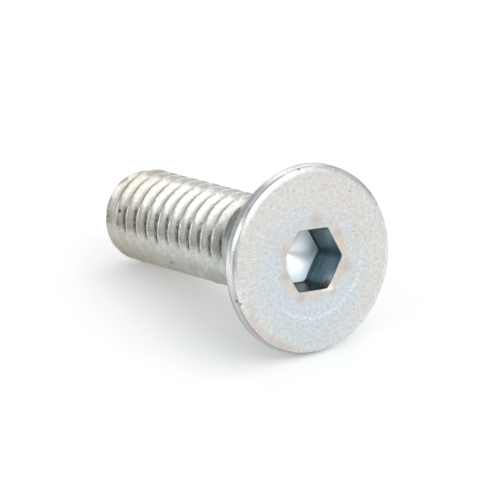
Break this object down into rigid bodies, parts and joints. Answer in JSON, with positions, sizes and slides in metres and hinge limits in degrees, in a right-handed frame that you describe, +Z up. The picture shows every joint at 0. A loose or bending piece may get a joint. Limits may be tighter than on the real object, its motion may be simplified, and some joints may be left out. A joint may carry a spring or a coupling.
{
  "type": "countersunk socket screw",
  "caption": "Countersunk flat head machine screw with a hex socket and a coarse rolled thread, in bright zinc plated steel, lying on its side.",
  "frame": {"origin": "middle of the base on the floor, with the screw lying at rest on the rim of its head and its last thread crest", "axes": "+Z up, +Y from the head towards the point, +X to the right seen from the head"},
  "size_m": [0.0124, 0.0214, 0.0123],
  "materials": {
    "zinc_plated_steel": "clear zinc plate, satin, lightly mottled"
  },
  "bodies": {
    "root": {"screw": "zinc_plated_steel"}
  },
  "joints": []
}
